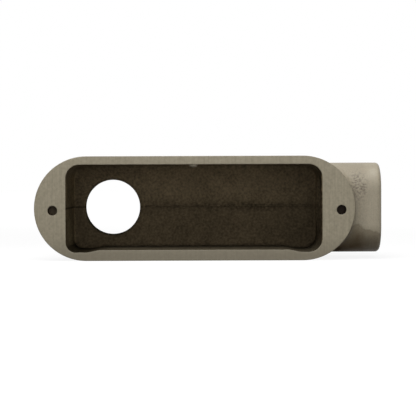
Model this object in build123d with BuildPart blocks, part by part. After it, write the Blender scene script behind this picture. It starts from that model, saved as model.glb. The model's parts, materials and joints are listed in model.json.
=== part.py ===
from build123d import *
import os

os.makedirs("parts", exist_ok=True)

# Conduit body: one iron casting with a wiring chamber, a hub at its end and a hub in its back.
# Millimetres. +X runs out of the end hub, +Y out of the back hub, and the chamber opens to -Y.
# The origin is the centre of the back hub's mouth.

# Trade size: the conduit that screws into both hubs
conduit_od = 26.67
conduit_bore = 20.9
thread_clearance = 0.1

# Hubs, alike at the end and in the back, but for the end hub's squared front
hub_wall = 3.0
hub_length = 21.7
hub_edge_r = 1.5
hub_front_r = 10.0
hub_root_r = 2.5
bushing_length = 4.5
bushing_lip_r = 1.5
mouth_chamfer = 0.45

# How the casting stands round its hubs
wall = 3.0
hub_setback = 3.1
back_margin = 0.6
side_margin = 2.41
heel_margin = 1.3
heel_wall_corner_r = 4.0
back_edge_r = 4.6

# Wiring chamber, with a raised pad along its lower wall
chamber_length = 92.6
chamber_corner_r = 5.0
heel_low_corner_r = 3.6
chamber_floor_r = 1.6
pad_gap = 2.7
pad_ramp = 4.4
pad_thickness = 0.86
pad_blend_r = 6.0

# Lands at the two ends of the cover rim
heel_land = 11.35
hub_land = 11.75
land_thickness = 4.5
land_gusset = 9.5
land_gusset_angle = 42.0

# Cover screws: blind tapped holes, which the casting carries a little below its middle
screw_r = 1.75
screw_spacing = 104.2
screw_inset = 6.6
screw_drop = 0.7
screw_depth = 5.0

# Sizes that follow
tapped_r = conduit_od / 2 + thread_clearance
throat_r = conduit_bore / 2
hub_r = tapped_r + hub_wall
run_depth = hub_setback + hub_r
body_depth = run_depth + hub_r + back_margin
chamber_depth = body_depth - wall
rim_width = 2 * (hub_r + side_margin)
chamber_width = rim_width - 2 * wall
chamber_low_x = wall - hub_r - heel_margin
chamber_high_x = chamber_low_x + chamber_length
rim_low_x = chamber_low_x - heel_land
rim_high_x = chamber_high_x + hub_land
rim_length = rim_high_x - rim_low_x
rim_x = (rim_low_x + rim_high_x) / 2
chamber_x = (chamber_low_x + chamber_high_x) / 2
pad_foot = chamber_length / 2 - chamber_corner_r - pad_gap
rim_reach = chamber_depth + hub_length
screw_x = rim_low_x + screw_inset + screw_spacing / 2

# Drawing planes: the cover face, each hub's mouth, and a half section through each hub with its
# axis upwards
rim_plane = Plane.XZ.offset(rim_reach)
end_hub_centre = (chamber_high_x + hub_length, run_depth - rim_reach, 0)
end_hub_mouth = Plane(origin=end_hub_centre, x_dir=(0, 0, 1), z_dir=(1, 0, 0))
end_hub_section = Plane(origin=end_hub_centre, x_dir=(0, 0, -1), z_dir=(0, -1, 0))
back_hub_mouth = Plane.XZ
back_hub_section = Plane.XY

with BuildPart() as conduit_body:
    # Chamber block: the rim's outline, cut back to a flat wall at the heel
    with BuildSketch(rim_plane) as block:
        with Locations((rim_x, 0)):
            SlotOverall(rim_length, rim_width)
        with Locations((chamber_low_x - wall + rim_length / 2, 0)):
            Rectangle(rim_length, rim_width, mode=Mode.INTERSECT)
        fillet(block.vertices().group_by(Axis.X)[0], heel_wall_corner_r)
    extrude(amount=-body_depth)
    fillet(conduit_body.faces().sort_by(Axis.Y)[-1].edges(), back_edge_r)

    # Back hub: a round barrel, blended into the block and rounded at its mouth
    with BuildSketch(back_hub_mouth) as back_barrel:
        Circle(hub_r)
    extrude(amount=hub_length)
    fillet(conduit_body.edges(Select.NEW), hub_root_r)
    fillet(conduit_body.faces().sort_by(Axis.Y)[-1].edges(), hub_edge_r)

    # End hub: round behind, and squared in front, where it runs along under the cover
    with BuildSketch(end_hub_mouth) as end_barrel:
        Circle(hub_r)
        with Locations((0, hub_r / 2)):
            Rectangle(2 * hub_r, hub_r)
        fillet(end_barrel.vertices().group_by(Axis.Y)[-1], hub_front_r)
    extrude(amount=-hub_length)
    fillet(conduit_body.edges(Select.NEW), hub_root_r)
    fillet(conduit_body.faces().sort_by(Axis.X)[-1].edges(), hub_edge_r)

    # Cover rim, whose land at the heel leans back under its end to meet the block
    with BuildSketch(rim_plane) as rim:
        with Locations((rim_x, 0)):
            SlotOverall(rim_length, rim_width)
    extrude(amount=-land_thickness)
    with BuildSketch(rim_plane.offset(-land_thickness)) as gusset:
        with Locations((rim_x, 0)):
            SlotOverall(rim_length, rim_width)
        with Locations((rim_low_x, 0)):
            Rectangle(rim_length, rim_width, mode=Mode.INTERSECT)
    extrude(amount=-land_gusset, taper=land_gusset_angle)

    # Wiring chamber, with the raised pad along its lower wall
    with BuildSketch(rim_plane) as opening:
        with Locations((chamber_x, 0)):
            Rectangle(chamber_length, chamber_width)
        fillet(opening.vertices().group_by(Axis.X)[0].sort_by(Axis.Y)[0], heel_low_corner_r)
        fillet(opening.vertices().group_by(Axis.Y)[-1], chamber_corner_r)
        fillet(opening.vertices().group_by(Axis.X)[-1].sort_by(Axis.Y)[0], chamber_corner_r)
        with BuildLine() as pad:
            Polyline(
                (chamber_x - pad_foot, -chamber_width / 2),
                (chamber_x - pad_foot + pad_ramp, pad_thickness - chamber_width / 2),
                (chamber_x + pad_foot - pad_ramp, pad_thickness - chamber_width / 2),
                (chamber_x + pad_foot, -chamber_width / 2),
                close=True,
            )
        make_face(mode=Mode.SUBTRACT)
        fillet(opening.vertices().group_by(Axis.Y)[1], pad_blend_r)
        fillet(opening.vertices().group_by(Axis.Y)[0].sort_by(Axis.X)[1:3], pad_blend_r)
    extrude(amount=-chamber_depth, mode=Mode.SUBTRACT)
    fillet(conduit_body.edges(Select.LAST).group_by(Axis.Y)[-1], chamber_floor_r)

    # Hub bores, cut from inside the chamber: bushing lip, throat, tapped bore, mouth chamfer
    for section in (end_hub_section, back_hub_section):
        with BuildSketch(section) as bore:
            with BuildLine():
                Polyline(
                    (throat_r + bushing_lip_r, -hub_length),
                    (throat_r + bushing_lip_r, -hub_length - 2 * bushing_lip_r),
                    (0, -hub_length - 2 * bushing_lip_r),
                    (0, mouth_chamfer),
                    (tapped_r + 2 * mouth_chamfer, mouth_chamfer),
                    (tapped_r, -mouth_chamfer),
                    (tapped_r, bushing_length - hub_length),
                    (throat_r, bushing_length - hub_length),
                    (throat_r, bushing_lip_r - hub_length),
                )
                RadiusArc(
                    (throat_r, bushing_lip_r - hub_length),
                    (throat_r + bushing_lip_r, -hub_length),
                    -bushing_lip_r,
                )
            make_face()
        revolve(axis=Axis(section.origin, section.y_dir), mode=Mode.SUBTRACT)

    # Blind screw holes in the two lands
    with BuildSketch(rim_plane) as screw_holes:
        with Locations((screw_x, -screw_drop)):
            with GridLocations(screw_spacing, 0, 2, 1):
                Circle(screw_r)
    extrude(amount=-screw_depth, mode=Mode.SUBTRACT)

conduit_body.part.label = "conduit_body"
export_step(conduit_body.part, "parts/conduit_body.step")
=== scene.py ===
import json
import math

import bmesh
import bpy
from mathutils import Matrix, Quaternion, Vector


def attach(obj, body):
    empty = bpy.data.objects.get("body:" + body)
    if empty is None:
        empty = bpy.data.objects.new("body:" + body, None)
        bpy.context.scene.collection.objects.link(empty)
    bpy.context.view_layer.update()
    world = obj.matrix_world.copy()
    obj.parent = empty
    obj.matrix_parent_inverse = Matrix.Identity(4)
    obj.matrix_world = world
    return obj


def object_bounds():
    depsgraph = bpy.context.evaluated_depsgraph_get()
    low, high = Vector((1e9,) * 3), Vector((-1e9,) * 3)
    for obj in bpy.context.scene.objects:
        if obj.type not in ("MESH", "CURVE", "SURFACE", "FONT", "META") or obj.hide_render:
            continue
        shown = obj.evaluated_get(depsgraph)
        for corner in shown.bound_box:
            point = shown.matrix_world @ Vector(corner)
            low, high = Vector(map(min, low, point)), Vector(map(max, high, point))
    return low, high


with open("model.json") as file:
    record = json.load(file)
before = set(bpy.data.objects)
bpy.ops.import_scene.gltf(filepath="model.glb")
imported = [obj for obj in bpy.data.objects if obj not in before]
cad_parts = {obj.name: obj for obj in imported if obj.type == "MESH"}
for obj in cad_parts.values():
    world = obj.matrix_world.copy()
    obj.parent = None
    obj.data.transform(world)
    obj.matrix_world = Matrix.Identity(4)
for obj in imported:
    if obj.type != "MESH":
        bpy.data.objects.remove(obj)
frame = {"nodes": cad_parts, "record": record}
cad_low, cad_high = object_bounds()


# Camera: straight at the open cover side, from half a metre and just above the middle,
# with a long lens. The photograph leans a little, so its right side is up.
mm = 0.001
mounts = {mount["name"]: mount for mount in frame["record"]["mounts"]}
rim_y = mounts["cover_face"]["pos_m"][1]
camera_distance = 504 * mm
camera_height = 9.5 * mm
picture_centre = Vector((36.6 * mm, rim_y, 0.1 * mm))
picture_angle = math.radians(16.9)
picture_lean = math.radians(-0.2)
nearest_seen = 10 * mm
farthest_seen = 20.0

camera = bpy.data.objects.new("camera", bpy.data.cameras.new("camera"))
bpy.context.scene.collection.objects.link(camera)
bpy.context.scene.camera = camera
camera.data.angle = picture_angle
camera.data.clip_start = nearest_seen
camera.data.clip_end = farthest_seen
camera.location = (picture_centre.x, rim_y - camera_distance, camera_height)
camera.rotation_mode = "QUATERNION"
looking = (picture_centre - camera.location).to_track_quat("-Z", "Y")
camera.rotation_quaternion = looking @ Quaternion((0, 0, 1), picture_lean)
bpy.context.scene.view_settings.view_transform = "Standard"


# Stage: white paper under the body, the same white all round, and soft studio light.
# The camera and reflections see white, and the body's shadow still falls on the paper.


def linear(code):
    """A colour written as an sRGB hex code, as linear red, green, blue and alpha."""
    values = [int(code[i : i + 2], 16) / 255 for i in (0, 2, 4)]
    return (*[v / 12.92 if v <= 0.04045 else ((v + 0.055) / 1.055) ** 2.4 for v in values], 1)


def add(tree, kind, settings=(), inputs=(), links=()):
    """A node of that kind, with its settings, its input values and links into its inputs."""
    node = tree.nodes.new(kind)
    for name, value in dict(settings).items():
        setattr(node, name, value)
    for name, value in dict(inputs).items():
        node.inputs[name].default_value = value
    for name, socket in dict(links).items():
        tree.links.new(socket, node.inputs[name])
    return node


def seen_directly(tree):
    """A socket that is 1 for the camera, reflections and clear paths, and 0 for soft light."""
    path = add(tree, "ShaderNodeLightPath")
    seen = add(tree, "ShaderNodeMath", {"operation": "ADD", "use_clamp": True}, {}, {
        0: path.outputs["Is Camera Ray"], 1: path.outputs["Is Glossy Ray"]})
    seen = add(tree, "ShaderNodeMath", {"operation": "ADD", "use_clamp": True}, {}, {
        0: seen.outputs[0], 1: path.outputs["Is Transmission Ray"]})
    return seen.outputs[0]


floor_size = 6.0
white = linear("FFFFFF")
paper_tone = linear("6A6A6A")  # takes the lamps' light and the shadow, while the glow makes it white
glow_near, glow_far = 0.88, 1.0
glow_from, glow_full = 100 * mm, 450 * mm
room_light = 0.08
lamps = (
    # name, place and size in mm, watts
    ("key", (0, -210, 235), (320, 90), 0.74),
    ("top", (30, -30, 260), (300, 160), 0.42),
    ("fill", (36, -480, 60), (240, 200), 0.48),
    ("side", (330, -120, 30), (220, 220), 0.13),
)

paper_white = bpy.data.materials.new("matt_white_paper")
paper_white.use_nodes = True
tree = paper_white.node_tree
tree.nodes.clear()
away = add(tree, "ShaderNodeVectorMath", {"operation": "LENGTH"}, {}, {
    0: add(tree, "ShaderNodeTexCoord").outputs["Object"]})
glow = add(tree, "ShaderNodeMapRange", {}, {
    "From Min": glow_from, "From Max": glow_full, "To Min": glow_near, "To Max": glow_far}, {
    "Value": away.outputs["Value"]})
strength = add(tree, "ShaderNodeMath", {"operation": "MULTIPLY"}, {}, {
    0: seen_directly(tree), 1: glow.outputs[0]})
paper = add(tree, "ShaderNodeBsdfDiffuse", {}, {"Color": paper_tone})
light = add(tree, "ShaderNodeEmission", {}, {"Color": white}, {"Strength": strength.outputs[0]})
both = add(tree, "ShaderNodeAddShader", {}, {}, {0: paper.outputs[0], 1: light.outputs[0]})
add(tree, "ShaderNodeOutputMaterial", {}, {}, {"Surface": both.outputs[0]})

mesh = bpy.data.meshes.new("floor")
half = floor_size / 2
mesh.from_pydata([(-half, -half, cad_low.z), (half, -half, cad_low.z),
                  (half, half, cad_low.z), (-half, half, cad_low.z)], [], [(0, 1, 2, 3)])
mesh.materials.append(paper_white)
floor = bpy.data.objects.new("floor", mesh)
bpy.context.scene.collection.objects.link(floor)

world = bpy.data.worlds.new("studio")
bpy.context.scene.world = world
world.use_nodes = True
tree = world.node_tree
tree.nodes.clear()
strength = add(tree, "ShaderNodeMapRange", {}, {"To Min": room_light, "To Max": 1.0}, {
    "Value": seen_directly(tree)})
sky = add(tree, "ShaderNodeBackground", {}, {"Color": white}, {"Strength": strength.outputs[0]})
add(tree, "ShaderNodeOutputWorld", {}, {}, {"Surface": sky.outputs[0]})

body_centre = (cad_low + cad_high) / 2
for name, place, size, watts in lamps:
    lamp = bpy.data.objects.new(name, bpy.data.lights.new(name, "AREA"))
    bpy.context.scene.collection.objects.link(lamp)
    lamp.data.shape = "RECTANGLE"
    lamp.data.size = size[0] * mm
    lamp.data.size_y = size[1] * mm
    lamp.data.energy = watts
    lamp.location = Vector(place) * mm
    lamp.rotation_mode = "QUATERNION"
    lamp.rotation_quaternion = (body_centre - lamp.location).to_track_quat("-Z", "Y")


# Casting: one pour of malleable iron, sand cast and then lacquered a warm grey. Its cover rim is
# ground flat, its hubs are tapped, and the chamber keeps the dark skin of its core. The end away
# from the end hub is its heel.
casting = frame["nodes"]["conduit_body"]
bore_r = mounts["back_hub"]["dims"]["r_mm"] * mm
end_hub = Vector(mounts["end_hub"]["pos_m"])
openings = {opening["name"]: opening["box_m"] for opening in frame["record"]["physics"]["openings"]}
chamber_low, chamber_high = (Vector(corner) for corner in openings["wiring_chamber"])
chamber_middle = (chamber_low + chamber_high) / 2
end_hub_past_rim = 9.95 * mm
rim_end_x = cad_high.x - end_hub_past_rim


def iron(name):
    """A material with one Principled shader, and the place on the body that its patterns follow."""
    material = bpy.data.materials.new(name)
    material.use_nodes = True
    tree = material.node_tree
    tree.nodes.clear()
    shader = add(tree, "ShaderNodeBsdfPrincipled")
    add(tree, "ShaderNodeOutputMaterial", {}, {}, {"Surface": shader.outputs[0]})
    place = add(tree, "ShaderNodeTexCoord").outputs["Object"]
    return material, tree, shader, place


# Lacquered sand casting: a satin film over fine sand grain, with soft lighter and darker clouds.
# On the end hub it is pitted beside the rim's end, turned and lighter near the mouth, with a
# painted highlight at its upper corner, and painted shade below a line that climbs towards the rim.
lacquer_dark, lacquer_light = linear("827A68"), linear("958C79")
lacquer_cloud = 9 * mm
sand_grain = 0.5 * mm
speckle_tone = linear("5E5748")
speckle_share = 0.3
turned_tone = linear("A59C88")
turned_line = 0.4 * mm  # coarser than a real tool mark, which is too fine to show
turned_from_x = cad_high.x - 6.5 * mm
turned_full_x = cad_high.x - 4.5 * mm
turned_share = 0.5
# A painted highlight at the upper corner of the hub's mouth
painted_highlight_tone = linear("D2CCBE")
highlight_place = (cad_high.x - 2.6 * mm, rim_y + 5.5 * mm, 13 * mm)
highlight_core_r, highlight_r = 0.8 * mm, 2.6 * mm
highlight_share = 0.12
pit_tone = linear("61574A")
pit_size = 0.8 * mm
pit_depth = 1.6  # times the relief of the sand grain
pitted_place = (rim_end_x + 1.4 * mm, rim_y + 3 * mm, 8.0 * mm)
pitted_reach = (3.6 * mm, 6 * mm, 6.0 * mm)
# Painted shade on the end hub's lower side, with the rim's painted shadow beside the rim
low_side_shade_tone = linear("4A3B24")
low_side_from_x, low_side_full_x = rim_end_x - 12 * mm, rim_end_x - 8 * mm
dark_line_at_rim, dark_line_at_mouth = -5.8 * mm, -8.0 * mm
peak_x = rim_end_x + 1.3 * mm
peak_height, peak_half_width = 2.0 * mm, 2.8 * mm
line_wander, line_wander_step = 2.4 * mm, 2.2 * mm
dark_at_line, darker_below = 0.38, 0.45
line_from, line_full = 0.3 * mm, -0.4 * mm
below_from, below_full = -1.5 * mm, -8.0 * mm
dark_gain_from_x = rim_end_x - 5 * mm
dark_gain_at_rim, dark_gain_at_mouth = 1.35, 0.75
casting_edge_r = 0.8 * mm
casting_relief = 0.12 * mm

lacquer, tree, shader, place = iron("lacquered_sand_casting")
axes = add(tree, "ShaderNodeSeparateXYZ", {}, {}, {0: place})
grain = add(tree, "ShaderNodeTexNoise", {}, {"Scale": 1 / sand_grain, "Detail": 4.0}, {
    "Vector": place})
clouds = add(tree, "ShaderNodeTexNoise", {}, {"Scale": 1 / lacquer_cloud, "Detail": 3.0}, {
    "Vector": place})
tone = add(tree, "ShaderNodeMix", {"data_type": "RGBA"}, {"A": lacquer_dark, "B": lacquer_light}, {
    "Factor": clouds.outputs[0]})
speckle = add(tree, "ShaderNodeMapRange", {}, {
    "From Min": 0.4, "From Max": 0.7, "To Min": 0.0, "To Max": speckle_share}, {
    "Value": grain.outputs[0]})
tone = add(tree, "ShaderNodeMix", {"data_type": "RGBA"}, {"B": speckle_tone}, {
    "A": tone.outputs["Result"], "Factor": speckle.outputs[0]})

# Turning lines near the hub's mouth, and a painted highlight at its upper corner
stretch = add(tree, "ShaderNodeMapping", {}, {
    "Scale": (1 / turned_line, 1 / lacquer_cloud, 1 / lacquer_cloud)}, {"Vector": place})
lines = add(tree, "ShaderNodeTexNoise", {}, {"Scale": 1.0, "Detail": 2.0}, {
    "Vector": stretch.outputs[0]})
turned = add(tree, "ShaderNodeMapRange", {}, {
    "From Min": turned_from_x, "From Max": turned_full_x, "To Min": 0.0, "To Max": turned_share}, {
    "Value": axes.outputs["X"]})
turned = add(tree, "ShaderNodeMath", {"operation": "MULTIPLY"}, {}, {
    0: turned.outputs[0], 1: lines.outputs[0]})
tone = add(tree, "ShaderNodeMix", {"data_type": "RGBA"}, {"B": turned_tone}, {
    "A": tone.outputs["Result"], "Factor": turned.outputs[0]})
from_highlight = add(tree, "ShaderNodeVectorMath", {"operation": "DISTANCE"}, {1: highlight_place}, {0: place})
bright = add(tree, "ShaderNodeMapRange", {}, {
    "From Min": highlight_core_r, "From Max": highlight_r, "To Min": highlight_share, "To Max": 0.0}, {
    "Value": from_highlight.outputs["Value"]})
tone = add(tree, "ShaderNodeMix", {"data_type": "RGBA"}, {"B": painted_highlight_tone}, {
    "A": tone.outputs["Result"], "Factor": bright.outputs[0]})

# Pits, in one patch beside the rim's end
patch = add(tree, "ShaderNodeMapping", {"vector_type": "TEXTURE"}, {
    "Location": pitted_place, "Scale": pitted_reach}, {"Vector": place})
reach = add(tree, "ShaderNodeVectorMath", {"operation": "LENGTH"}, {}, {0: patch.outputs[0]})
rough_patch = add(tree, "ShaderNodeMapRange", {}, {
    "From Min": 0.5, "From Max": 1.2, "To Min": 1.0, "To Max": 0.0}, {"Value": reach.outputs["Value"]})
pits = add(tree, "ShaderNodeTexNoise", {}, {"Scale": 1 / pit_size, "Detail": 3.0}, {"Vector": place})
pitted = add(tree, "ShaderNodeMapRange", {}, {"From Min": 0.45, "From Max": 0.65}, {
    "Value": pits.outputs[0]})
pitted = add(tree, "ShaderNodeMath", {"operation": "MULTIPLY"}, {}, {
    0: pitted.outputs[0], 1: rough_patch.outputs[0]})
tone = add(tree, "ShaderNodeMix", {"data_type": "RGBA"}, {"B": pit_tone}, {
    "A": tone.outputs["Result"], "Factor": pitted.outputs[0]})

# The dark lower side is painted shade: everything below a wandering line, which slopes down
# towards the mouth and has a peak beside the rim. It is darkest at the bottom beside the rim, where
# the rim's shadow is painted, and has no shine.
line_z = add(tree, "ShaderNodeMapRange", {}, {
    "From Min": rim_end_x, "From Max": cad_high.x,
    "To Min": dark_line_at_rim, "To Max": dark_line_at_mouth}, {"Value": axes.outputs["X"]})
from_peak = add(tree, "ShaderNodeMath", {"operation": "SUBTRACT"}, {1: peak_x}, {0: axes.outputs["X"]})
from_peak = add(tree, "ShaderNodeMath", {"operation": "ABSOLUTE"}, {}, {0: from_peak.outputs[0]})
climb = add(tree, "ShaderNodeMapRange", {}, {
    "From Min": 0.0, "From Max": peak_half_width, "To Min": peak_height, "To Max": 0.0}, {
    "Value": from_peak.outputs[0]})
above = add(tree, "ShaderNodeMath", {"operation": "SUBTRACT"}, {}, {
    0: axes.outputs["Z"], 1: line_z.outputs[0]})
above = add(tree, "ShaderNodeMath", {"operation": "SUBTRACT"}, {}, {
    0: above.outputs[0], 1: climb.outputs[0]})
uneven = add(tree, "ShaderNodeTexNoise", {}, {"Scale": 1 / line_wander_step, "Detail": 4.0}, {
    "Vector": place})
above = add(tree, "ShaderNodeMath", {"operation": "MULTIPLY_ADD"}, {1: line_wander}, {
    0: uneven.outputs[0], 2: above.outputs[0]})
edge = add(tree, "ShaderNodeMapRange", {}, {
    "From Min": line_from, "From Max": line_full, "To Min": 0.0, "To Max": dark_at_line}, {
    "Value": above.outputs[0]})
deepening = add(tree, "ShaderNodeMapRange", {}, {
    "From Min": below_from, "From Max": below_full, "To Min": 0.0, "To Max": darker_below}, {
    "Value": above.outputs[0]})
rimward = add(tree, "ShaderNodeMapRange", {}, {
    "From Min": dark_gain_from_x, "From Max": cad_high.x,
    "To Min": dark_gain_at_rim, "To Max": dark_gain_at_mouth}, {"Value": axes.outputs["X"]})
below = add(tree, "ShaderNodeMath", {"operation": "MULTIPLY_ADD"}, {}, {
    0: deepening.outputs[0], 1: rimward.outputs[0], 2: edge.outputs[0]})
on_hub = add(tree, "ShaderNodeMapRange", {}, {
    "From Min": low_side_from_x, "From Max": low_side_full_x}, {"Value": axes.outputs["X"]})
below = add(tree, "ShaderNodeMath", {"operation": "MULTIPLY"}, {}, {
    0: below.outputs[0], 1: on_hub.outputs[0]})
tone = add(tree, "ShaderNodeMix", {"data_type": "RGBA"}, {"B": low_side_shade_tone}, {
    "A": tone.outputs["Result"], "Factor": below.outputs[0]})
tree.links.new(tone.outputs["Result"], shader.inputs["Base Color"])

shine = add(tree, "ShaderNodeMapRange", {}, {"To Min": 0.35, "To Max": 0.0}, {
    "Value": below.outputs[0]})
tree.links.new(shine.outputs[0], shader.inputs["Specular IOR Level"])
shader.inputs["Roughness"].default_value = 0.45
height = add(tree, "ShaderNodeMath", {"operation": "MULTIPLY_ADD"}, {1: -pit_depth}, {
    0: pitted.outputs[0], 2: grain.outputs[0]})
edges = add(tree, "ShaderNodeBevel", {"samples": 6}, {"Radius": casting_edge_r})
bump = add(tree, "ShaderNodeBump", {}, {"Strength": 0.6, "Distance": casting_relief}, {
    "Height": height.outputs[0], "Normal": edges.outputs[0]})
tree.links.new(bump.outputs[0], shader.inputs["Normal"])

# Ground iron: the cover rim, flat off the belt and under the same lacquer, with faint lines
# across it, fine speckle, painted shade on its lower side and edges that the belt has just broken
ground_dark, ground_light = linear("7E7663"), linear("918975")
belt_line = (0.4 * mm, 3 * mm, 12 * mm)  # coarser than a real belt's grit, which is too fine to show
ground_speckle = 0.9 * mm
speckle_part = 0.55
# Painted shade, darker towards the rim's lower side
rim_shade_tone = linear("6A6353")
rim_shade_from_z, rim_shade_full_z = -10 * mm, -17 * mm
rim_shade_share = 0.7
broken_edge_r = 0.45 * mm

ground, tree, shader, place = iron("ground_iron")
stretch = add(tree, "ShaderNodeMapping", {}, {"Scale": [1 / size for size in belt_line]}, {
    "Vector": place})
lines = add(tree, "ShaderNodeTexNoise", {}, {"Scale": 1.0, "Detail": 3.0}, {
    "Vector": stretch.outputs[0]})
speckle = add(tree, "ShaderNodeTexNoise", {}, {"Scale": 1 / ground_speckle, "Detail": 4.0}, {
    "Vector": place})
surface = add(tree, "ShaderNodeMix", {"data_type": "FLOAT"}, {"Factor": speckle_part}, {
    "A": lines.outputs[0], "B": speckle.outputs[0]})
surface = add(tree, "ShaderNodeMapRange", {}, {"From Min": 0.35, "From Max": 0.65}, {
    "Value": surface.outputs[0]})
tone = add(tree, "ShaderNodeMix", {"data_type": "RGBA"}, {"A": ground_dark, "B": ground_light}, {
    "Factor": surface.outputs[0]})
axes = add(tree, "ShaderNodeSeparateXYZ", {}, {}, {0: place})
rim_shade = add(tree, "ShaderNodeMapRange", {}, {
    "From Min": rim_shade_from_z, "From Max": rim_shade_full_z, "To Min": 0.0, "To Max": rim_shade_share}, {
    "Value": axes.outputs["Z"]})
tone = add(tree, "ShaderNodeMix", {"data_type": "RGBA"}, {"B": rim_shade_tone}, {
    "A": tone.outputs["Result"], "Factor": rim_shade.outputs[0]})
tree.links.new(tone.outputs["Result"], shader.inputs["Base Color"])
shader.inputs["Roughness"].default_value = 0.5
shader.inputs["Specular IOR Level"].default_value = 0.35
edges = add(tree, "ShaderNodeBevel", {"samples": 6}, {"Radius": broken_edge_r})
tree.links.new(edges.outputs[0], shader.inputs["Normal"])

# Core sand skin: dark brown, rough and without shine. Painted shade makes it darker towards both ends
# and on the walls and darkest in the low corner at the heel, and painted light makes the two end walls
# paler towards their feet. A hairline shows where the core's halves met, and dark spots gather round
# it in the middle.
wall_shade_tone = linear("2B251A")
hub_wall_foot_light_tone = linear("7A6C55")
heel_wall_rim_shade_tone, heel_wall_foot_light_tone = linear("574D3A"), linear("857659")
low_wall_light_tone, high_wall_light_tone = linear("4A4336"), linear("6E6250")
chamber_floor_tone = linear("655945")
core_grain = 0.9 * mm  # about twice the real sand's grain, which is too fine to show
core_cloud = 5 * mm
cloud_part = 0.4
mottle_low, mottle_high = 0.62, 1.38
# Painted light and shade in the chamber: the heel's low corner, the upper half, the ends and the feet
off_heel_from_x, off_heel_full_x = -7 * mm, 1 * mm
upper_light_gain = 2.0
end_from, end_full = 20 * mm, 40 * mm
end_shade_gain = 0.8
heel_corner_shade = 1.6
foot_light_gain = 1.35
foot_peak = 0.28  # the most that the foot's share reaches
seam_tone = linear("1C160F")
hairline_dark_half, hairline_half_width = 0.15 * mm, 0.5 * mm
hairline_fades_from_x, hairline_fades_to_x = -11 * mm, 12 * mm
spot_size = 1.1 * mm
spots_at_line, spots_beside_line = 0.6 * mm, 2.3 * mm
spots_x = 49 * mm
spots_thick, spots_reach = 10 * mm, 36 * mm
core_relief = 0.3 * mm

core, tree, shader, place = iron("core_sand_skin")
axes = add(tree, "ShaderNodeSeparateXYZ", {}, {}, {0: place})
facing = add(tree, "ShaderNodeSeparateXYZ", {}, {}, {
    0: add(tree, "ShaderNodeTexCoord").outputs["Normal"]})
deep = add(tree, "ShaderNodeMapRange", {}, {"From Min": rim_y, "From Max": chamber_high.y}, {
    "Value": axes.outputs["Y"]})

# How far a place faces as the low wall, the heel's wall, the hub's wall, the high wall and the
# floor do. Each facing takes its own tone, as painted light and shade on the one skin. The hub's
# wall and the heel's take their feet's paler tone by how deep the place lies, as painted light.
low_wall = add(tree, "ShaderNodeMath", {"operation": "MAXIMUM"}, {1: 0.0}, {0: facing.outputs["Z"]})
heel_wall = add(tree, "ShaderNodeMath", {"operation": "MULTIPLY_ADD", "use_clamp": True}, {
    1: -heel_corner_shade}, {0: low_wall.outputs[0], 2: facing.outputs["X"]})
off_heel = add(tree, "ShaderNodeMapRange", {}, {
    "From Min": off_heel_from_x, "From Max": off_heel_full_x, "To Min": 0.1, "To Max": 1.0}, {
    "Value": axes.outputs["X"]})
low_wall = add(tree, "ShaderNodeMath", {"operation": "MULTIPLY"}, {}, {
    0: low_wall.outputs[0], 1: off_heel.outputs[0]})
hub_wall = add(tree, "ShaderNodeMath", {"operation": "MULTIPLY", "use_clamp": True}, {1: -1.0}, {
    0: facing.outputs["X"]})
hub_wall = add(tree, "ShaderNodeMath", {"operation": "MULTIPLY"}, {}, {
    0: hub_wall.outputs[0], 1: deep.outputs[0]})
high_wall = add(tree, "ShaderNodeMath", {"operation": "MULTIPLY", "use_clamp": True}, {1: -1.0}, {
    0: facing.outputs["Z"]})
floorward = add(tree, "ShaderNodeMath", {"operation": "ABSOLUTE"}, {}, {0: facing.outputs["Y"]})

heel_tone = add(tree, "ShaderNodeMix", {"data_type": "RGBA"}, {
    "A": heel_wall_rim_shade_tone, "B": heel_wall_foot_light_tone}, {"Factor": deep.outputs[0]})
tone = add(tree, "ShaderNodeMix", {"data_type": "RGBA"}, {"A": wall_shade_tone, "B": hub_wall_foot_light_tone}, {
    "Factor": hub_wall.outputs[0]})
tone = add(tree, "ShaderNodeMix", {"data_type": "RGBA"}, {}, {
    "A": tone.outputs["Result"], "B": heel_tone.outputs["Result"], "Factor": heel_wall.outputs[0]})
for share, side_tone in (
    (low_wall, low_wall_light_tone),
    (high_wall, high_wall_light_tone),
    (floorward, chamber_floor_tone),
):
    tone = add(tree, "ShaderNodeMix", {"data_type": "RGBA"}, {"B": side_tone}, {
        "A": tone.outputs["Result"], "Factor": share.outputs[0]})

# Painted light above the middle, painted shade towards both ends and painted light in the rounding
# at the end walls' feet, and mottled all over
upper = add(tree, "ShaderNodeMapRange", {}, {
    "From Min": 0.0, "From Max": chamber_high.z, "To Min": 1.0, "To Max": upper_light_gain}, {
    "Value": axes.outputs["Z"]})
from_middle = add(tree, "ShaderNodeMath", {"operation": "SUBTRACT"}, {1: chamber_middle.x}, {
    0: axes.outputs["X"]})
from_middle = add(tree, "ShaderNodeMath", {"operation": "ABSOLUTE"}, {}, {0: from_middle.outputs[0]})
ends = add(tree, "ShaderNodeMapRange", {}, {
    "From Min": end_from, "From Max": end_full, "To Min": 1.0, "To Max": end_shade_gain}, {
    "Value": from_middle.outputs[0]})
endward = add(tree, "ShaderNodeMath", {"operation": "ABSOLUTE"}, {}, {0: facing.outputs["X"]})
endward = add(tree, "ShaderNodeMath", {"operation": "POWER"}, {1: 4.0}, {0: endward.outputs[0]})
foot = add(tree, "ShaderNodeMath", {"operation": "MULTIPLY"}, {}, {
    0: floorward.outputs[0], 1: endward.outputs[0]})
foot = add(tree, "ShaderNodeMapRange", {}, {"From Max": foot_peak, "To Min": 1.0, "To Max": foot_light_gain}, {
    "Value": foot.outputs[0]})
grain = add(tree, "ShaderNodeTexNoise", {}, {"Scale": 1 / core_grain, "Detail": 4.0}, {
    "Vector": place})
clouds = add(tree, "ShaderNodeTexNoise", {}, {"Scale": 1 / core_cloud, "Detail": 3.0}, {
    "Vector": place})
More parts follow.
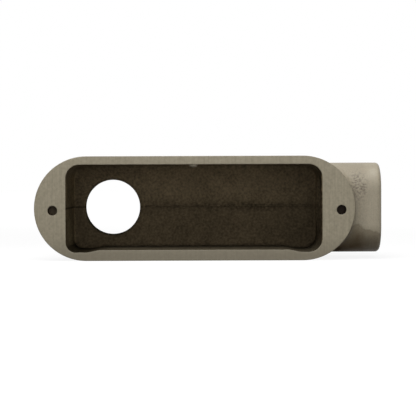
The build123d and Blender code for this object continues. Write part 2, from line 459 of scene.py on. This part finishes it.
mottle = add(tree, "ShaderNodeMath", {"operation": "MULTIPLY_ADD"}, {1: cloud_part}, {
    0: clouds.outputs[0], 2: grain.outputs[0]})
mottle = add(tree, "ShaderNodeMapRange", {}, {
    "From Min": 0.48, "From Max": 0.92, "To Min": mottle_low, "To Max": mottle_high}, {
    "Value": mottle.outputs[0]})
level = upper
for gain in (ends, foot, mottle):
    level = add(tree, "ShaderNodeMath", {"operation": "MULTIPLY"}, {}, {
        0: level.outputs[0], 1: gain.outputs[0]})
tone = add(tree, "ShaderNodeVectorMath", {"operation": "SCALE"}, {}, {
    0: tone.outputs["Result"], "Scale": level.outputs[0]})

# The hairline along the middle, strongest at the heel, and the spots round it
off_line = add(tree, "ShaderNodeMath", {"operation": "ABSOLUTE"}, {}, {0: axes.outputs["Z"]})
hairline = add(tree, "ShaderNodeMapRange", {}, {
    "From Min": hairline_dark_half, "From Max": hairline_half_width, "To Min": 0.6, "To Max": 0.0}, {
    "Value": off_line.outputs[0]})
fading = add(tree, "ShaderNodeMapRange", {}, {
    "From Min": hairline_fades_from_x, "From Max": hairline_fades_to_x, "To Min": 1.0, "To Max": 0.3}, {
    "Value": axes.outputs["X"]})
hairline = add(tree, "ShaderNodeMath", {"operation": "MULTIPLY"}, {}, {
    0: hairline.outputs[0], 1: fading.outputs[0]})
beside = add(tree, "ShaderNodeMapRange", {}, {
    "From Min": spots_at_line, "From Max": spots_beside_line, "To Min": 1.0, "To Max": 0.0}, {
    "Value": off_line.outputs[0]})
along = add(tree, "ShaderNodeMath", {"operation": "SUBTRACT"}, {1: spots_x}, {0: axes.outputs["X"]})
along = add(tree, "ShaderNodeMath", {"operation": "ABSOLUTE"}, {}, {0: along.outputs[0]})
gather = add(tree, "ShaderNodeMapRange", {}, {
    "From Min": spots_thick, "From Max": spots_reach, "To Min": 0.5, "To Max": 0.0}, {
    "Value": along.outputs[0]})
spots = add(tree, "ShaderNodeTexNoise", {}, {"Scale": 1 / spot_size, "Detail": 3.0}, {
    "Vector": place})
spotted = add(tree, "ShaderNodeMapRange", {}, {"From Min": 0.42, "From Max": 0.6}, {
    "Value": spots.outputs[0]})
for share in (beside, gather):
    spotted = add(tree, "ShaderNodeMath", {"operation": "MULTIPLY"}, {}, {
        0: spotted.outputs[0], 1: share.outputs[0]})
seam = add(tree, "ShaderNodeMath", {"operation": "MAXIMUM"}, {}, {
    0: spotted.outputs[0], 1: hairline.outputs[0]})
tone = add(tree, "ShaderNodeMix", {"data_type": "RGBA"}, {"B": seam_tone}, {
    "A": tone.outputs[0], "Factor": seam.outputs[0]})
tree.links.new(tone.outputs["Result"], shader.inputs["Base Color"])
shader.inputs["Roughness"].default_value = 0.8
shader.inputs["Specular IOR Level"].default_value = 0.0
bump = add(tree, "ShaderNodeBump", {}, {"Strength": 0.6, "Distance": core_relief}, {
    "Height": grain.outputs[0]})
tree.links.new(bump.outputs[0], shader.inputs["Normal"])

# Tapped iron: the cut threads and mouths of both hubs, bare metal under a thin oil
tapped, tree, shader, place = iron("tapped_iron")
shader.inputs["Base Color"].default_value = linear("8C8880")
shader.inputs["Metallic"].default_value = 1.0
shader.inputs["Roughness"].default_value = 0.35

# Screw holes: the blind tapped holes, darkened with painted shade and lighter towards the heel.
# Their threads show as fine rings, one for each turn, which is what a wave of this scale makes.
hole_shade_tone, heel_hole_shade_tone = linear("281A10"), linear("584C3C")
screw_pitch = 0.794 * mm
ring_scale = 2 * math.pi / (20 * screw_pitch)

shaded_hole, tree, shader, place = iron("screw_hole_painted_shade")
axes = add(tree, "ShaderNodeSeparateXYZ", {}, {}, {0: place})
towards_heel = add(tree, "ShaderNodeMapRange", {}, {"From Min": cad_high.x, "From Max": cad_low.x}, {
    "Value": axes.outputs["X"]})
tone = add(tree, "ShaderNodeMix", {"data_type": "RGBA"}, {"A": hole_shade_tone, "B": heel_hole_shade_tone}, {
    "Factor": towards_heel.outputs[0]})
tree.links.new(tone.outputs["Result"], shader.inputs["Base Color"])
shader.inputs["Roughness"].default_value = 0.5
shader.inputs["Specular IOR Level"].default_value = 0.1
rings = add(tree, "ShaderNodeTexWave", {"bands_direction": "Y"}, {"Scale": ring_scale}, {
    "Vector": place})
bump = add(tree, "ShaderNodeBump", {}, {"Distance": 0.2 * mm}, {"Height": rings.outputs[0]})
tree.links.new(bump.outputs[0], shader.inputs["Normal"])

# Each face of the casting gets the finish of the place that it is in
finishes = (lacquer, ground, core, tapped, shaded_hole)
shoulder_depth = 17.3 * mm
wall_reach = 2.7 * mm
floor_reach = 0.8 * mm
screw_hole_reach = 5.5 * mm
rim_slack = 0.01 * mm
hub_slack, screw_slack = 1.05, 1.02
screw_r = mounts["cover_screws"]["dims"]["hole_r_mm"] * mm
screw_middle = Vector(mounts["cover_screws"]["pos_m"])
screw_reach = mounts["cover_screws"]["dims"]["spacing_x_mm"] / 2 * mm

casting.data.materials.clear()
for material in finishes:
    casting.data.materials.append(material)
for face in casting.data.polygons:
    spot = face.center
    from_screw = math.hypot(abs(spot.x - screw_middle.x) - screw_reach, spot.z - screw_middle.z)
    in_back_hub = math.hypot(spot.x, spot.z) < bore_r * hub_slack and spot.y > chamber_high.y
    in_end_hub = math.hypot(spot.y - end_hub.y, spot.z) < bore_r * hub_slack and spot.x > chamber_high.x
    in_chamber = (face.normal.dot(chamber_middle - spot) > 0
                  and spot.y < chamber_high.y + floor_reach
                  and chamber_low.x - wall_reach < spot.x < chamber_high.x + wall_reach
                  and chamber_low.z - wall_reach < spot.z < chamber_high.z + wall_reach)
    if spot.y < rim_y + rim_slack:
        finish = ground
    elif from_screw < screw_r * screw_slack and spot.y < rim_y + screw_hole_reach:
        finish = shaded_hole
    elif in_back_hub and spot.y > -shoulder_depth or in_end_hub and end_hub.x - spot.x < shoulder_depth:
        finish = tapped
    elif in_chamber or in_back_hub or in_end_hub:
        finish = core
    else:
        finish = lacquer
    face.material_index = finishes.index(finish)


# Hub threads: the taper pipe thread that a tap cut in the iron of each hub, one ridge that winds
# from the mouth to the shoulder and closes in as it goes. The CAD wall is the thread's root, so the
# ridge stands inward.


def node_tree(name, sizes):
    """An empty Geometry Nodes tree with a named number input for each size, and its output node."""
    tree = bpy.data.node_groups.new(name, "GeometryNodeTree")
    tree.is_modifier = True
    tree.interface.new_socket("Geometry", in_out="OUTPUT", socket_type="NodeSocketGeometry")
    for size in sizes:
        tree.interface.new_socket(size, in_out="INPUT", socket_type="NodeSocketFloat")
    return tree, tree.nodes.new("NodeGroupInput").outputs, tree.nodes.new("NodeGroupOutput")


def grown(name, tree, sizes):
    """The mesh that the tree makes with these sizes."""
    seed = bpy.data.objects.new(name, bpy.data.meshes.new(name))
    bpy.context.scene.collection.objects.link(seed)
    modifier = seed.modifiers.new(name, "NODES")
    modifier.node_group = tree
    for socket in tree.interface.items_tree:
        if socket.in_out == "INPUT":
            modifier[socket.identifier] = sizes[socket.name]
    evaluated = seed.evaluated_get(bpy.context.evaluated_depsgraph_get())
    mesh = bpy.data.meshes.new_from_object(evaluated)
    bpy.data.objects.remove(seed)
    return mesh


threads_per_inch = 14
thread_start = 1.4 * mm
thread_sizes = {
    "Crest Radius": bore_r - 1.46 * mm,
    "Taper": 1 / 32,  # on the radius, so 1 in 16 across the thread
    "Pitch": 25.4 / threads_per_inch * mm,
    "Length": 15.6 * mm,
    "Ridge Height": 1.7 * mm,
    "Crest Width": 0.2 * mm,
    "Base Width": 2.16 * mm,
    "Run In": 0.5,
}
steps_per_turn = 96
flank_edge_angle = math.radians(25)

tree, size, result = node_tree("taper_thread", thread_sizes)
turns = add(tree, "ShaderNodeMath", {"operation": "DIVIDE"}, {}, {
    0: size["Length"], 1: size["Pitch"]})
closing = add(tree, "ShaderNodeMath", {"operation": "MULTIPLY"}, {}, {
    0: size["Length"], 1: size["Taper"]})
deep_r = add(tree, "ShaderNodeMath", {"operation": "SUBTRACT"}, {}, {
    0: size["Crest Radius"], 1: closing.outputs[0]})
winding = add(tree, "GeometryNodeCurveSpiral", {}, {"Resolution": steps_per_turn}, {
    "Rotations": turns.outputs[0], "Start Radius": size["Crest Radius"],
    "End Radius": deep_r.outputs[0], "Height": size["Length"]})
upright = add(tree, "GeometryNodeSetCurveNormal", {"mode": "Z_UP"}, {}, {"Curve": winding.outputs[0]})

# The ridge's first half turn rises out of the wall
along = add(tree, "GeometryNodeSplineParameter")
turn = add(tree, "ShaderNodeMath", {"operation": "MULTIPLY"}, {}, {
    0: along.outputs["Factor"], 1: turns.outputs[0]})
sunk = add(tree, "ShaderNodeMapRange", {}, {"From Min": 0.0, "To Max": 0.0}, {
    "Value": turn.outputs[0], "From Max": size["Run In"], "To Min": size["Ridge Height"]})
outward = add(tree, "ShaderNodeVectorMath", {"operation": "MULTIPLY"}, {1: (1, 1, 0)}, {
    0: add(tree, "GeometryNodeInputPosition").outputs[0]})
outward = add(tree, "ShaderNodeVectorMath", {"operation": "NORMALIZE"}, {}, {0: outward.outputs[0]})
shift = add(tree, "ShaderNodeVectorMath", {"operation": "SCALE"}, {}, {
    0: outward.outputs[0], "Scale": sunk.outputs[0]})
run_in = add(tree, "GeometryNodeSetPosition", {}, {}, {
    "Geometry": upright.outputs[0], "Offset": shift.outputs[0]})

section = add(tree, "GeometryNodeCurvePrimitiveQuadrilateral", {"mode": "TRAPEZOID"}, {"Offset": 0.0}, {
    "Height": size["Ridge Height"], "Bottom Width": size["Base Width"], "Top Width": size["Crest Width"]})
half_height = add(tree, "ShaderNodeMath", {"operation": "MULTIPLY"}, {1: -0.5}, {
    0: size["Ridge Height"]})
crest_at_line = add(tree, "ShaderNodeCombineXYZ", {}, {}, {"X": half_height.outputs[0]})
section = add(tree, "GeometryNodeTransform", {}, {"Rotation": (0, 0, -math.pi / 2)}, {
    "Geometry": section.outputs[0], "Translation": crest_at_line.outputs[0]})
ridge = add(tree, "GeometryNodeCurveToMesh", {}, {"Fill Caps": True}, {
    "Curve": run_in.outputs[0], "Profile Curve": section.outputs[0]})
plain = add(tree, "GeometryNodeRealizeInstances", {}, {}, {"Geometry": ridge.outputs[0]})
done = add(tree, "GeometryNodeSetMaterial", {}, {"Material": tapped}, {"Geometry": plain.outputs[0]})
tree.links.new(done.outputs[0], result.inputs["Geometry"])

for name, mouth, inward in (
    ("end_hub_thread", end_hub, Vector((-1, 0, 0))),
    ("back_hub_thread", Vector((0, 0, 0)), Vector((0, -1, 0))),
):
    mesh = grown(name, tree, thread_sizes)
    aim = inward.to_track_quat("Z", "Y").to_matrix().to_4x4()
    mesh.transform(Matrix.Translation(mouth + inward * thread_start) @ aim)
    mesh.shade_smooth()
    mesh.set_sharp_from_angle(angle=flank_edge_angle)
    thread = bpy.data.objects.new(name, mesh)
    bpy.context.scene.collection.objects.link(thread)
    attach(thread, "root")


# Core flash: the rough beads of iron that ran into the core's joints, thin in places and gone in
# others. One lies along the chamber floor, and one down the opening's edge beside the end hub.
flash_step = 0.35 * mm
flash_wander = 0.9 * mm
wander_length = 1.8 * mm
swell_length = 0.9 * mm
bead_sides = 7
flash_beads = (
    # name, start, quarter turns about Y, length, bead radius
    ("floor_flash", (12.5 * mm, -21.62 * mm, 0.3 * mm), 0, 63.5 * mm, 0.5 * mm),
    ("edge_flash", (77.9 * mm, rim_y + 0.5 * mm, 12.5 * mm), 1, 25 * mm, 0.32 * mm),
)

tree, size, result = node_tree("core_flash", ("Length", "Step", "Wander", "Bead Radius"))
last = add(tree, "ShaderNodeCombineXYZ", {}, {}, {"X": size["Length"]})
line = add(tree, "GeometryNodeCurvePrimitiveLine", {}, {}, {"End": last.outputs[0]})
line = add(tree, "GeometryNodeResampleCurve", {"mode": "LENGTH"}, {}, {
    "Curve": line.outputs[0], "Length": size["Step"]})
drift = add(tree, "ShaderNodeTexNoise", {}, {"Scale": 1 / wander_length, "Detail": 3.0})
drift = add(tree, "ShaderNodeVectorMath", {"operation": "SUBTRACT"}, {1: (0.5, 0.5, 0.5)}, {
    0: drift.outputs["Color"]})
drift = add(tree, "ShaderNodeVectorMath", {"operation": "MULTIPLY"}, {1: (0, 0.25, 1)}, {
    0: drift.outputs[0]})
drift = add(tree, "ShaderNodeVectorMath", {"operation": "SCALE"}, {}, {
    0: drift.outputs[0], "Scale": size["Wander"]})
rough_line = add(tree, "GeometryNodeSetPosition", {}, {}, {
    "Geometry": line.outputs[0], "Offset": drift.outputs[0]})
swell = add(tree, "ShaderNodeTexNoise", {}, {"Scale": 1 / swell_length, "Detail": 2.0})
swell = add(tree, "ShaderNodeMapRange", {}, {"From Min": 0.4, "From Max": 0.75, "To Min": 0.12}, {
    "Value": swell.outputs[0]})
bead = add(tree, "GeometryNodeSetCurveRadius", {}, {}, {
    "Curve": rough_line.outputs[0], "Radius": swell.outputs[0]})
round_section = add(tree, "GeometryNodeCurvePrimitiveCircle", {}, {"Resolution": bead_sides}, {
    "Radius": size["Bead Radius"]})
flash = add(tree, "GeometryNodeCurveToMesh", {}, {"Fill Caps": True}, {
    "Curve": bead.outputs[0], "Profile Curve": round_section.outputs[0]})
plain = add(tree, "GeometryNodeRealizeInstances", {}, {}, {"Geometry": flash.outputs[0]})
done = add(tree, "GeometryNodeSetMaterial", {}, {"Material": core}, {"Geometry": plain.outputs[0]})
tree.links.new(done.outputs[0], result.inputs["Geometry"])

for name, start, quarter_turns, length, bead_r in flash_beads:
    mesh = grown(name, tree, {
        "Length": length, "Step": flash_step, "Wander": flash_wander, "Bead Radius": bead_r})
    mesh.transform(Matrix.Translation(start) @ Matrix.Rotation(quarter_turns * math.pi / 2, 4, "Y"))
    mesh.shade_smooth()
    flash = bpy.data.objects.new(name, mesh)
    bpy.context.scene.collection.objects.link(flash)
    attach(flash, "root")


# Vent nub: the rounded stub of iron that ran into a vent of the core. It is one with the casting,
# on the opening's upper edge just under the rim, and is lacquered like it.
nub_place = Vector((31.4 * mm, rim_y + 1.5 * mm, 15.7 * mm))
nub_size = (1.55 * mm, 1.1 * mm, 0.95 * mm)

shape = bmesh.new()
bmesh.ops.create_icosphere(shape, subdivisions=4, radius=1)
into_place = Matrix.Translation(nub_place) @ Matrix.Diagonal((*nub_size, 1))
bmesh.ops.transform(shape, matrix=into_place, verts=shape.verts)
mesh = bpy.data.meshes.new("vent_nub")
shape.to_mesh(mesh)
shape.free()
mesh.shade_smooth()
mesh.materials.append(lacquer)
nub = bpy.data.objects.new("vent_nub", mesh)
bpy.context.scene.collection.objects.link(nub)
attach(nub, "root")
